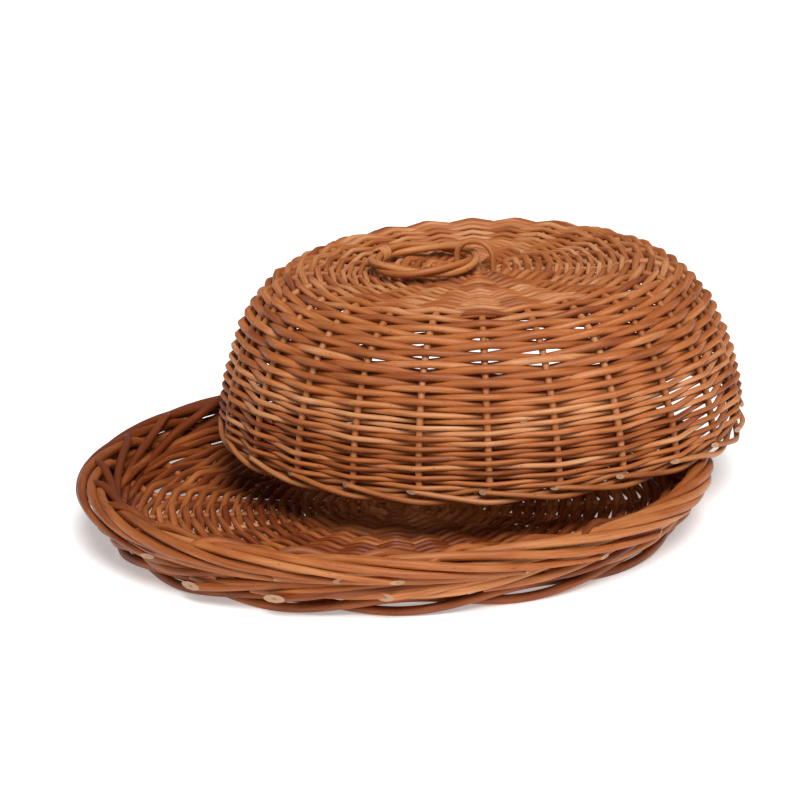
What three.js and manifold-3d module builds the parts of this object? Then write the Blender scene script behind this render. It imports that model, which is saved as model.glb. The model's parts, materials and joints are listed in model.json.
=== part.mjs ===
// Wicker bread box: a round tray with a rolled border, and a loose domed lid with a ring handle.
// The lid rests askew on the tray's border, as it is put down when the bread is being taken out.
// Millimetres, +Z up. Rods are willow; a woven wall is a band with a groove for each stake, and beside
// each stake its rows stand out and lie back in turn.

import * as THREE from 'three';
import { mergeVertices } from 'three/addons/utils/BufferGeometryUtils.js';
import Module from 'manifold-3d';

const wasm = await Module();
wasm.setup();

// Sizes shared by the tray and the lid
const stakeCount = 24;
const fitGap = 0.3; // clearance where two pieces touch
const weaveSkin = 2.1; // weave left behind a stake's groove
const crossSticks = 3; // sticks side by side in each arm of a centre cross

// Tray
const trayRadius = 200; // outermost, over the border rods
const trayHeight = 43; // table to the top of the border
const trayRod = 5.6; // border rod
const spokeRod = 4.8; // the same rod where it lies in the floor
const borderRodSpacing = 7; // rod to rod across the border
const borderBend = 7; // radius of the border's turn over the top
const wallLeanDegrees = 20; // the wall flares outwards
const floorTop = 13.4; // table to the floor's upper face
const floorCentreRadius = 60;
const floorRow = 8.8; // a row of the floor's weave, which stands for two weavers
const floorRelief = 1.8; // a row stands out and lies back this far beside a stake
const spokeRise = 1.5; // lift of a stake at the floor's edge
const footInset = 16; // foot's outside, in from the border's outside
const footRod = 6;
const footTurns = 7; // turns of the two rods round each other
const footTwistGap = 0.6; // between the two rods where they pass
const footRise = 4.2; // each rod waves this far above and below the foot's middle

// Lid
const lidStakeRadius = 163.2; // stakes at the lid's widest, centre line
const lidHeight = 105.5; // border's underside to the crown
const lidStake = 4;
const lidWeaveCover = 2.6; // weave outside the stakes' centre line
const lidRowTop = 4.65; // a row of the wall's weave at the crown
const lidRowBottom = 2.75; // and at the border, where the weavers are thin
const lidRelief = 3; // a row stands out and lies back this far beside a stake, on the upright wall
const crownFlatRadius = 102; // the crown is flat to here, then turns down
const crownCentreRadius = 50;
const crossStick = 4.4;
const lidShift = 90; // lid's centre from the tray's centre
const lidShiftDegrees = 50; // direction of that shift, from +X towards +Y
const lidTiltDegrees = 0.6; // the far side is higher

// Ring handle, lying to the left of the staple at the middle of the crown
const ringDiameter = 58; // centre line
const ringThickness = 10.5;
const stapleRod = 4;
const stapleGap = 0.5; // running clearance round the ring

// Facets
const rodSides = 5;
const footStepsPerTurn = 8;
const ringSteps = 24;
const ringSides = 8;
const stapleArchSteps = 6;
const wallSteps = 5; // from the crown's edge down to the lid's border
const borderStepsPerStake = 2;
const seatSamples = 4; // samples between two points of a rod, when the lid is seated

const stakeAngle = (2 * Math.PI) / stakeCount;
const stepAngle = stakeAngle / borderStepsPerStake;
const lean = THREE.MathUtils.degToRad(wallLeanDegrees);

const willow = {
  stake: { color: 0xa8683f, roughness: 0.55 },
  weave: { color: 0xa1613a, roughness: 0.6 },
  border: { color: 0xa7663e, roughness: 0.5 },
  handle: { color: 0xb87a4e, roughness: 0.5 },
};

function piece(name, geometry, look) {
  const mesh = new THREE.Mesh(geometry, new THREE.MeshStandardMaterial({ ...look, metalness: 0 }));
  mesh.name = name;
  return mesh;
}

function numbered(name, index) {
  return `${name}_${String(index + 1).padStart(2, '0')}`;
}

function around(angle, r, z) {
  return new THREE.Vector3(r * Math.cos(angle), r * Math.sin(angle), z);
}

function meshOf(vertices, triangles) {
  const geometry = new THREE.BufferGeometry();
  geometry.setFromPoints(vertices);
  geometry.setIndex(triangles);
  return geometry;
}

// One ring of a rod's section: the first corner points along up
function rodSection(point, tangent, up, radius) {
  const across = new THREE.Vector3().crossVectors(tangent, up).normalize();
  const square = new THREE.Vector3().crossVectors(across, tangent).normalize();
  return Array.from({ length: rodSides }, (_, side) => {
    const angle = (2 * Math.PI * side) / rodSides;
    return point.clone()
      .addScaledVector(square, radius * Math.cos(angle))
      .addScaledVector(across, radius * Math.sin(angle));
  });
}

// A rod with cut ends along points, with its radius at each; its section is carried along without twist
function rod(points, radii, firstUp) {
  const vertices = [];
  const triangles = [];
  const up = firstUp.clone();
  points.forEach((point, i) => {
    const before = points[Math.max(i - 1, 0)];
    const after = points[Math.min(i + 1, points.length - 1)];
    const tangent = after.clone().sub(before).normalize();
    up.addScaledVector(tangent, -up.dot(tangent)).normalize();
    vertices.push(...rodSection(point, tangent, up, radii[i]));
  });
  addTubeSides(triangles, points.length - 1, points.length);
  const last = (points.length - 1) * rodSides;
  for (let side = 1; side < rodSides - 1; side += 1) {
    triangles.push(0, side + 1, side);
    triangles.push(last, last + side, last + side + 1);
  }
  return meshOf(vertices, triangles);
}

// A rod that closes on itself, with one corner of its section always upwards
function closedRod(points, radius) {
  const vertices = [];
  const triangles = [];
  const up = new THREE.Vector3(0, 0, 1);
  points.forEach((point, i) => {
    const before = points[(i + points.length - 1) % points.length];
    const after = points[(i + 1) % points.length];
    vertices.push(...rodSection(point, after.clone().sub(before).normalize(), up, radius));
  });
  addTubeSides(triangles, points.length, points.length);
  return meshOf(vertices, triangles);
}

function addTubeSides(triangles, stepCount, ringCount) {
  for (let step = 0; step < stepCount; step += 1) {
    const here = step * rodSides;
    const next = ((step + 1) % ringCount) * rodSides;
    for (let side = 0; side < rodSides; side += 1) {
      const other = (side + 1) % rodSides;
      triangles.push(here + side, here + other, next + side);
      triangles.push(here + other, next + other, next + side);
    }
  }
}

// Rows of weaving along a band's stations, from one height of row to another.
// Each has its relief, and the first and the last row are the band's flat ends
function rowsAlong(stations, firstRow, lastRow, reliefOf) {
  const lengths = [0];
  stations.slice(1).forEach(({ r, z }, i) => {
    lengths.push(lengths[i] + Math.hypot(r - stations[i].r, z - stations[i].z));
  });
  const whole = lengths[stations.length - 1];
  const meanRow = (firstRow + lastRow) / 2;
  const count = Math.max(Math.round(whole / meanRow), 1);
  return Array.from({ length: count + 1 }, (_, row) => {
    const share = row / count;
    const along = (whole * share * (firstRow + ((lastRow - firstRow) * share) / 2)) / meanRow;
    const span = Math.max(lengths.findLastIndex((length) => length < along), 0);
    const part = (along - lengths[span]) / (lengths[span + 1] - lengths[span]);
    const from = stations[span];
    const to = stations[span + 1];
    const facing = from.facing.clone().lerp(to.facing, part);
    return {
      r: THREE.MathUtils.lerp(from.r, to.r, part),
      z: THREE.MathUtils.lerp(from.z, to.z, part),
      facing,
      relief: row % count === 0 ? 0 : reliefOf(facing),
    };
  });
}

// Triangles between two rings of corners, each with its place round the ring
function stitch(triangles, left, right) {
  let i = 0;
  let j = 0;
  while (i + 1 < left.length || j + 1 < right.length) {
    const nextLeft = i + 1 < left.length ? left[i + 1].place : Infinity;
    const nextRight = j + 1 < right.length ? right[j + 1].place : Infinity;
    if (nextLeft <= nextRight) {
      triangles.push(left[i].corner, left[i + 1].corner, right[j].corner);
      i += 1;
    } else {
      triangles.push(left[i].corner, right[j + 1].corner, right[j].corner);
      j += 1;
    }
  }
}

// A woven band round Z: stations give its stake line and the way its outer side faces, and rows the same
// for its rows. Outside and inside are its faces' distances from that line. Each stake has a groove in the
// outside, where the rows pass outside one stake and inside the next
function grooveBand(stations, rows, stakeDiameter, outside, inside) {
  const vertices = [];
  const triangles = [];
  const perStake = 5;
  const grooveFloor = -stakeDiameter / 2 - fitGap;
  // For each stake, the corners at given angles from it and distances from its line
  const ringOf = ({ r, z, facing }, cornersOf) => Array.from({ length: stakeCount }, (_, stake) => (
    cornersOf(stake).map(([angle, distance]) => {
      vertices.push(around(stake * stakeAngle + angle, r + distance * facing.x, z + distance * facing.y));
      return vertices.length - 1;
    })
  ));
  const closed = (ring) => [...ring, ring[0].slice(0, 1)].flatMap((corners, stake) => (
    corners.map((corner, item) => ({ place: stake * perStake + item, corner }))
  ));
  const outer = rows.map((row, index) => {
    const groove = Math.asin((stakeDiameter / 2 + fitGap) / row.r);
    const isEnd = index === 0 || index === rows.length - 1;
    return ringOf(row, (stake) => {
      const face = outside + ((stake + index) % 2 === 0 ? row.relief : -row.relief);
      const corners = [[-groove, face], [-groove, grooveFloor], [groove, grooveFloor], [groove, face]];
      return isEnd ? [...corners, [stakeAngle / 2, outside]] : corners;
    });
  });
  const inner = stations.map((station) => ringOf(station, () => [[0, -inside], [stakeAngle / 2, -inside]]));
  outer.slice(1).forEach((ring, i) => stitch(triangles, closed(ring), closed(outer[i])));
  inner.slice(1).forEach((ring, i) => stitch(triangles, closed(inner[i]), closed(ring)));
  const fan = (outerRing, innerRing, stake) => {
    const [leftFace, leftFloor, rightFloor, rightFace, middle] = outerRing[stake];
    const middleBefore = outerRing[(stake + stakeCount - 1) % stakeCount][perStake - 1];
    const [behind, behindMiddle] = innerRing[stake];
    const behindBefore = innerRing[(stake + stakeCount - 1) % stakeCount][1];
    return [
      [behindBefore, middleBefore, leftFace],
      [behindBefore, leftFace, leftFloor],
      [behindBefore, leftFloor, behind],
      [behind, leftFloor, rightFloor],
      [behind, rightFloor, behindMiddle],
      [behindMiddle, rightFloor, rightFace],
      [behindMiddle, rightFace, middle],
    ];
  };
  for (let stake = 0; stake < stakeCount; stake += 1) {
    fan(outer[0], inner[0], stake).forEach(([a, b, c]) => triangles.push(a, b, c));
    fan(outer.at(-1), inner.at(-1), stake).forEach(([a, b, c]) => triangles.push(a, c, b));
  }
  return meshOf(vertices, triangles);
}

function solidOf(geometry) {
  const plain = geometry.clone();
  plain.deleteAttribute('normal');
  plain.deleteAttribute('uv');
  const merged = mergeVertices(plain);
  return new wasm.Manifold(new wasm.Mesh({
    numProp: 3,
    vertProperties: new Float32Array(merged.attributes.position.array),
    triVerts: new Uint32Array(merged.index.array),
  }));
}

function geometryOf(solid) {
  const mesh = solid.getMesh();
  const geometry = new THREE.BufferGeometry();
  geometry.setAttribute('position', new THREE.BufferAttribute(new Float32Array(mesh.vertProperties), 3));
  geometry.setIndex(Array.from(mesh.triVerts));
  return geometry;
}

// An upright round disc or peg between two heights
function disc(radius, bottom, top, sides) {
  const geometry = new THREE.CylinderGeometry(radius, radius, top - bottom, sides);
  return geometry.rotateX(Math.PI / 2).translate(0, 0, (bottom + top) / 2);
}

// Two crossing flat bundles of sticks
function crossShape(armHalf, widthHalf) {
  const outline = new THREE.Shape();
  const corners = [
    [armHalf, -widthHalf], [armHalf, widthHalf], [widthHalf, widthHalf], [widthHalf, armHalf],
    [-widthHalf, armHalf], [-widthHalf, widthHalf], [-armHalf, widthHalf], [-armHalf, -widthHalf],
    [-widthHalf, -widthHalf], [-widthHalf, -armHalf], [widthHalf, -armHalf], [widthHalf, -widthHalf],
  ];
  outline.setFromPoints(corners.map(([x, y]) => new THREE.Vector2(x, y)));
  return outline;
}

function crossSolid(armHalf, widthHalf, bottom, depth) {
  const outline = crossShape(armHalf, widthHalf);
  const geometry = new THREE.ExtrudeGeometry(outline, { depth, bevelEnabled: false });
  return solidOf(geometry.translate(0, 0, bottom));
}

// The middle of a woven disc, with its centre cross let into the underside
function wovenCentre(radius, bottom, top) {
  const armHalf = radius - weaveSkin;
  const widthHalf = (crossSticks * crossStick) / 2;
  const pocketBottom = bottom - crossStick;
  const pocketTop = bottom + crossStick + fitGap;
  const pocket = crossSolid(armHalf + fitGap, widthHalf + fitGap, pocketBottom, pocketTop - pocketBottom);
  return {
    weave: solidOf(disc(radius, bottom, top, 2 * stakeCount)).subtract(pocket),
    cross: crossSolid(armHalf, widthHalf, bottom, crossStick),
  };
}

// Tray: foot, floor, wall and the rolled border
const footSwing = (footRod + footTwistGap) / 2; // each rod waves this far in and out
const footReach = footSwing + footRod / 2;
const footRadius = trayRadius - footInset - footReach;
const footStep = (2 * Math.PI) / footStepsPerTurn;
// The rods stand on the flat stretch between the two steps on each side of their lowest point
const footMiddle = footRise * Math.cos(footStep / 2) + (footRod / 2) * Math.cos(Math.PI / rodSides);
const footTop = footMiddle + footRise + footRod / 2;
const floorThickness = spokeRod + fitGap + weaveSkin;
const floorRadius = footRadius - footReach - spokeRod;
const spokeHeight = floorTop - spokeRod / 2;

const alongWall = new THREE.Vector2(Math.sin(lean), Math.cos(lean));
const acrossWall = new THREE.Vector2(Math.cos(lean), -Math.sin(lean));
const bendInset = trayRod / 2 + borderBend;
const bendCentre = new THREE.Vector2(trayRadius - bendInset, trayHeight - bendInset);
const overFoot = footTop + fitGap + trayRod / 2; // a border rod that lies on the foot
const wallBase = Math.max(overFoot, floorTop + fitGap + trayRod / 2);
const insideLeg = (bendCentre.y - acrossWall.y * borderBend - wallBase) / alongWall.y;
const outsideLeg = (bendCentre.y + acrossWall.y * borderBend - overFoot) / alongWall.y;
const turnLength = Math.PI * borderBend;
const borderLength = insideLeg + turnLength + outsideLeg;

// Place in the border's section, as (radius, height), after a length of the way up, over and down
function borderPlace(length) {
  const place = bendCentre.clone();
  const turn = THREE.MathUtils.clamp((length - insideLeg) / borderBend, 0, Math.PI);
  place.addScaledVector(acrossWall, -borderBend * Math.cos(turn));
  place.addScaledVector(alongWall, borderBend * Math.sin(turn));
  place.addScaledVector(alongWall, Math.min(length - insideLeg, 0));
  return place.addScaledVector(alongWall, -Math.max(length - insideLeg - turnLength, 0));
}

// A stake lies in the floor, rises over the foot, and becomes a rod of the border
function trayStakePath(start) {
  const points = [
    around(start, floorCentreRadius + fitGap, spokeHeight),
    around(start, floorRadius - trayRod * 3, spokeHeight),
    around(start, floorRadius, spokeHeight + spokeRise),
    around(start + stepAngle / 6, floorRadius + spokeRod, Math.max(overFoot, spokeHeight + spokeRise)),
  ];
  const radii = [spokeRod / 2, spokeRod / 2, spokeRod / 2, trayRod / 2];
  const sweep = (borderLength / borderRodSpacing) * stakeAngle;
  const steps = Math.ceil(sweep / stepAngle);
  for (let step = 0; step <= steps; step += 1) {
    const turned = Math.min(step * stepAngle, sweep);
    const place = borderPlace((turned / stakeAngle) * borderRodSpacing);
    points.push(around(start + stepAngle + turned, place.x, place.y));
    radii.push(trayRod / 2);
  }
  return { points, radii };
}

function footRodPath(phase) {
  const steps = footTurns * footStepsPerTurn;
  return Array.from({ length: steps }, (_, step) => {
    const twist = (step + 0.5) * footStep + phase;
    const r = footRadius + footSwing * Math.sin(twist);
    return around((2 * Math.PI * (step + 0.5)) / steps, r, footMiddle - footRise * Math.cos(twist));
  });
}

// The wall's own weave fills the border from inside
function wallWeave() {
  const half = borderBend - trayRod / 2 - fitGap;
  const bottom = bendCentre.clone().addScaledVector(alongWall, trayRod / 2 - insideLeg);
  const turns = [0, 0.25, 0.5, 0.75, 1].map((share) => share * Math.PI);
  const outline = turns.map((turn) => bendCentre.clone()
    .addScaledVector(acrossWall, half * Math.cos(turn))
    .addScaledVector(alongWall, half * Math.sin(turn)));
  outline.push(bottom.clone().addScaledVector(acrossWall, -half));
  outline.push(bottom.clone().addScaledVector(acrossWall, half));
  outline.push(outline[0].clone());
  const geometry = new THREE.LatheGeometry(outline, borderStepsPerStake * stakeCount);
  return geometry.rotateX(Math.PI / 2);
}

const tray = new THREE.Group();
const floorBottom = floorTop - floorThickness;
const floorCentre = wovenCentre(floorCentreRadius - fitGap, floorBottom, floorTop);
const floorFacing = new THREE.Vector2(0, 1);
const floorStations = [floorCentreRadius, floorRadius].map((r) => (
  { r, z: spokeHeight, facing: floorFacing }
));
const trayStakes = Array.from({ length: stakeCount }, (_, k) => trayStakePath(k * stakeAngle));
const worldUp = new THREE.Vector3(0, 0, 1);
tray.add(piece('tray_floor_centre', geometryOf(floorCentre.weave), willow.weave));
tray.add(piece('tray_floor_cross', geometryOf(floorCentre.cross), willow.stake));
const floorRows = rowsAlong(floorStations, floorRow, floorRow, () => floorRelief);
const floorFace = spokeRod / 2 - floorRelief; // the rows that stand out are level with the spokes
const floorInside = spokeRod / 2 + fitGap + weaveSkin;
const floorBand = grooveBand(floorStations, floorRows, spokeRod, floorFace, floorInside);
tray.add(piece('tray_floor_weave', floorBand, willow.weave));
tray.add(piece('tray_wall_weave', wallWeave(), willow.weave));
tray.add(piece('tray_foot_rod_a', closedRod(footRodPath(0), footRod / 2), willow.border));
tray.add(piece('tray_foot_rod_b', closedRod(footRodPath(Math.PI), footRod / 2), willow.border));
trayStakes.forEach(({ points, radii }, k) => {
  tray.add(piece(numbered('tray_stake', k), rod(points, radii, worldUp), willow.border));
});

// Lid: heights are from the underside of its own border
const crownLine = lidHeight - lidWeaveCover;
const lidInside = lidStake / 2 + fitGap + weaveSkin;
const shoulder = lidStakeRadius - crownFlatRadius;
const wallBottom = lidStake * 3.4;
const wallBottomTurn = Math.acos(wallBottom / crownLine);

// The stake line turns down from the flat crown in a quarter of an ellipse
function lidLine(turn) {
  return {
    r: crownFlatRadius + shoulder * Math.sin(turn),
    z: crownLine * Math.cos(turn),
    facing: new THREE.Vector2(crownLine * Math.sin(turn), shoulder * Math.cos(turn)).normalize(),
  };
}

// Each stake turns along the border: behind the next stake, under it, and out past the one after.
// Stakes passed, then places outwards and upwards, in stake diameters
const borderTurn = [
  { passed: 0, out: 0, up: 3.1 },
  { passed: 0.15, out: -0.1, up: 2.45 },
  { passed: 0.5, out: -0.65, up: 1.8 },
  { passed: 1, out: -0.95, up: 1.25 },
  { passed: 1.5, out: -0.35, up: 0.75 },
  { passed: 2, out: 0.375, up: 0.5 },
  { passed: 2.5, out: 0.9, up: 1.3 },
  { passed: 3.1, out: 1.1, up: 2.2 },
];

function crownStations() {
  return [crownCentreRadius, crownFlatRadius - fitGap].map((r) => ({ ...lidLine(0), r }));
}

function wallStations() {
  return Array.from({ length: wallSteps + 1 }, (_, step) => lidLine((wallBottomTurn * step) / wallSteps));
}

function lidStakePath(start) {
  const points = wallStations().map(({ r, z }) => around(start, r, z));
  points.unshift(around(start, crownCentreRadius + fitGap, crownLine));
  const border = borderTurn.map(({ passed, out, up }) => {
    const height = up * lidStake;
    const r = lidLine(Math.acos(height / crownLine)).r + out * lidStake;
    return around(start - passed * stakeAngle, r, height);
  });
  const all = [...points, ...border];
  return { points: all, radii: all.map(() => lidStake / 2) };
}

const staplePeak = ringThickness / 2 + stapleGap + stapleRod / 2; // staple's centre line from the ring's
const ringHeight = lidHeight + fitGap + ringThickness / 2;
const crownBottom = crownLine - lidInside;

// The staple holds the ring down: its two legs go through the crown and its centre cross
function staplePath() {
  const points = [new THREE.Vector3(-staplePeak, 0, crownBottom)];
  for (let step = 0; step <= stapleArchSteps; step += 1) {
    const angle = Math.PI * (1 - step / stapleArchSteps);
    const rise = staplePeak * Math.sin(angle);
    points.push(new THREE.Vector3(staplePeak * Math.cos(angle), 0, ringHeight + rise));
  }
  points.push(new THREE.Vector3(staplePeak, 0, crownBottom));
  return { points, radii: points.map(() => stapleRod / 2) };
}

function stapleHoles() {
  const hole = (x) => solidOf(disc(
    stapleRod / 2 + fitGap,
    crownBottom - stapleRod,
    lidHeight + stapleRod,
    ringSides,
  ).translate(x, 0, 0));
  return hole(-staplePeak).add(hole(staplePeak));
}

const lid = new THREE.Group();
const crownCentre = wovenCentre(crownCentreRadius - fitGap, crownBottom, lidHeight);
const lidStakes = Array.from({ length: stakeCount }, (_, k) => lidStakePath(k * stakeAngle));
const staple = staplePath();
lid.add(piece('lid_crown_centre', geometryOf(crownCentre.weave.subtract(stapleHoles())), willow.weave));
lid.add(piece('lid_crown_cross', geometryOf(crownCentre.cross.subtract(stapleHoles())), willow.stake));
const crownEnds = crownStations().map((station) => ({ ...station, relief: 0 }));
const crownBand = grooveBand(crownStations(), crownEnds, lidStake, lidWeaveCover, lidInside);
const wallRows = rowsAlong(wallStations(), lidRowTop, lidRowBottom, (facing) => lidRelief * facing.x);
const wallBand = grooveBand(wallStations(), wallRows, lidStake, lidWeaveCover, lidInside);
lid.add(piece('lid_crown_weave', crownBand, willow.weave));
lid.add(piece('lid_wall_weave', wallBand, willow.weave));
const stapleSolid = rod(staple.points, staple.radii, new THREE.Vector3(0, 1, 0));
lid.add(piece('handle_staple', stapleSolid, willow.handle));
lidStakes.forEach(({ points, radii }, k) => {
  lid.add(piece(numbered('lid_stake', k), rod(points, radii, worldUp), willow.stake));
});

const ring = new THREE.Group();
ring.position.set(0, 0, ringHeight);
const ringGeometry = new THREE.TorusGeometry(ringDiameter / 2, ringThickness / 2, ringSides, ringSteps);
ring.add(piece('handle_ring', ringGeometry.translate(-ringDiameter / 2, 0, 0), willow.handle));
lid.add(ring);

// The lid is set down askew, so that its border crosses the tray's border at two places
const shiftAngle = THREE.MathUtils.degToRad(lidShiftDegrees);
const tiltAxis = new THREE.Vector3(Math.sin(shiftAngle), -Math.cos(shiftAngle), 0);
lid.position.set(lidShift * Math.cos(shiftAngle), lidShift * Math.sin(shiftAngle), 0);
lid.quaternion.setFromAxisAngle(tiltAxis, THREE.MathUtils.degToRad(lidTiltDegrees));
lid.updateMatrix();

function samples(paths, firstPoint, matrix) {
  return paths.flatMap(({ points }) => points.slice(firstPoint, -1).flatMap((point, i) => (
    Array.from({ length: seatSamples }, (_, share) => point.clone()
      .lerp(points[firstPoint + i + 1], share / seatSamples)
      .applyMatrix4(matrix))
  )));
}

// Height at which the lid's border rods just clear the tray's border rods
function seatHeight() {
  const trayPoints = samples(trayStakes, 3, new THREE.Matrix4());
  const lidPoints = samples(lidStakes, wallSteps + 2, lid.matrix);
  const reach = trayRod / 2 + lidStake / 2 + fitGap;
  let height = 0;
  lidPoints.forEach((lidPoint) => {
    trayPoints.forEach((trayPoint) => {
      const apart = Math.hypot(lidPoint.x - trayPoint.x, lidPoint.y - trayPoint.y);
      if (apart < reach) {
        height = Math.max(height, trayPoint.z - lidPoint.z + Math.sqrt(reach ** 2 - apart ** 2));
      }
    });
  });
  return height;
}
lid.position.z = seatHeight();

const breadBox = new THREE.Group();
breadBox.add(tray, lid);

// The origin is on the table, under the middle of the whole object
breadBox.updateMatrixWorld(true);
const bounds = new THREE.Box3().setFromObject(breadBox, true);
const middle = bounds.getCenter(new THREE.Vector3());
breadBox.position.set(-middle.x, -middle.y, -bounds.min.z);
breadBox.updateMatrixWorld(true);

export default breadBox;
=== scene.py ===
import json
import math

import bpy
import numpy as np
from mathutils import Matrix, Vector


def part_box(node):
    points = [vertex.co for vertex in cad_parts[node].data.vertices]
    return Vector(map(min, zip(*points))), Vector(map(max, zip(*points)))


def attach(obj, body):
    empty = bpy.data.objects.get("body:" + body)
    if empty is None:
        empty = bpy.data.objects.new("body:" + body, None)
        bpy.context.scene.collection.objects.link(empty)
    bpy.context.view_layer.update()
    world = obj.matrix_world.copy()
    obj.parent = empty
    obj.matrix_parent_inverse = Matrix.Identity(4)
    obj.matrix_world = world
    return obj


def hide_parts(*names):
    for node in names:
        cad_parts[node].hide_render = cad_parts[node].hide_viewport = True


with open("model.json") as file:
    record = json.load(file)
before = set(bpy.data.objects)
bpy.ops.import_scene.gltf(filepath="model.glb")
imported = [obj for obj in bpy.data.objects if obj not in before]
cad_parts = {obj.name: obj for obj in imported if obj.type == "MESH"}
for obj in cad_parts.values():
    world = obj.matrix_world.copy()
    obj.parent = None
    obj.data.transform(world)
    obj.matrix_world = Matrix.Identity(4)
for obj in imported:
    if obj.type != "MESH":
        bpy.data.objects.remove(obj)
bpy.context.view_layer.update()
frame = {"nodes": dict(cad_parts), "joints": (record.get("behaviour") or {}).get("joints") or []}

mm = 0.001
dice = np.random.default_rng(24)  # every chance below comes from here
print("frame:", len(frame["nodes"]), "nodes")


# Places of the tray and of the lid: their pieces are drawn in millimetres round their own middle

trayShape = {
    "stakes": 24,
    "outside": 200.0,  # radius over the border rods
    "height": 43.0,
    "rodRadius": 2.8,
    "spokeRadius": 2.3,  # of the same rods in the floor
    "rodSpacing": 6.8,  # rod to rod across the border
    "bend": 7.0,  # turn of the border over the top
    "lean": math.radians(20),
    "wallBase": 16.6,
    "floorEdge": 166.6,
    "centreRadius": 60.0,
}
lidShape = {
    "stakes": 24,
    "stakeCircle": 163.2,
    "crownLine": 102.9,  # stakes' middle, over the border's underside
    "flatRadius": 102.0,
    "centreRadius": 50.0,
    "stakeRadius": 2.0,
    "wallBottom": 13.6,
    "tilt": math.radians(0.6),
    "shiftedTo": math.radians(50),  # it was set down towards this side, which stands higher
    "ringHeight": 111.05,
}

trayMiddle = sum(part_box("tray_floor_centre"), Vector()) / 2
trayPlace = (np.eye(3), np.array([trayMiddle.x, trayMiddle.y, 0]) / mm)

tiltAxis = Vector((math.sin(lidShape["shiftedTo"]), -math.cos(lidShape["shiftedTo"]), 0))
lidTurn = np.array(Matrix.Rotation(lidShape["tilt"], 3, tiltAxis))
ringJoint = next(joint for joint in frame["joints"] if joint["name"] == "ring_swing")
ringPivot = np.array(ringJoint["pos_m"]) / mm
lidPlace = (lidTurn, ringPivot - lidTurn[:, 2] * lidShape["ringHeight"])


# Willow, the one material: how it is coloured

def linear(hexColour):
    parts = [int(hexColour[i:i + 2], 16) / 255 for i in (1, 3, 5)]
    return [*(c / 12.92 if c <= 0.04045 else ((c + 0.055) / 1.055) ** 2.4 for c in parts), 1.0]


def addNode(tree, kind, sockets=None, **settings):
    made = tree.nodes.new(kind)
    for name, value in settings.items():
        setattr(made, name, value)
    for name, value in (sockets or {}).items():
        if isinstance(value, bpy.types.NodeSocket):
            tree.links.new(value, made.inputs[name])
        else:
            made.inputs[name].default_value = value
    return made


# Buff willow is boiled in its bark and then peeled: the tannin stains the bare wood red-brown.
# It keeps a satin skin, fine streaks along the rod, cloudy tone from rod to rod and small dark leaf scars.
buffWillow = {
    "streak": (0.7, 24.0, 3),  # width and length in mm, then detail
    "cloud": (7.0, 42.0, 2),
    "scar": (1.3, 2.6, 1),
    "noiseRoughness": 0.6,
    "weights": (("cloud", 0.9), ("streak", 0.7)),  # in the tone
    "scarLimits": (0.70, 0.78),  # of the noise: no scar under the first, a full one over the second
    "scarDepth": 0.75,
    "roughness": (0.42, 0.62),
    "roughnessLimits": (0.3, 0.7),  # of the streaks
    "ior": 1.5,
    "specular": 0.36,
    "bumpDepth": 0.12,  # mm
    "bumpStrength": 0.5,
    "scarColour": "#43200C",
    # a cut shows the paler wood: its rim is marked 1, its middle 0.5, and the rod's skin 0
    "cutColours": (("#8A5C38", 0.55), ("#AE886A", 0.68)),  # pith, then wood
    "cutMark": 0.3,
    "tones": {
        "willow_weavers": ("#702E08", "#AE632F", "#DCA878"),
        "willow_stakes": ("#763812", "#AA6534", "#C89064"),
        "willow_border": ("#6A2C06", "#A45A27", "#C88B56"),
        "willow_handle": ("#803E16", "#B46B35", "#D09660"),
    },
}


def remap(tree, value, source, target):
    sockets = {"Value": value}
    sockets["From Min"], sockets["From Max"] = source
    sockets["To Min"], sockets["To Max"] = target
    return addNode(tree, "ShaderNodeMapRange", sockets).outputs[0]


def mixColours(tree, share, first, second):  # 6 and 7 are the node's sockets for colours
    sockets = {0: share, 6: first, 7: second}
    return addNode(tree, "ShaderNodeMix", sockets, data_type="RGBA").outputs[2]


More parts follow.
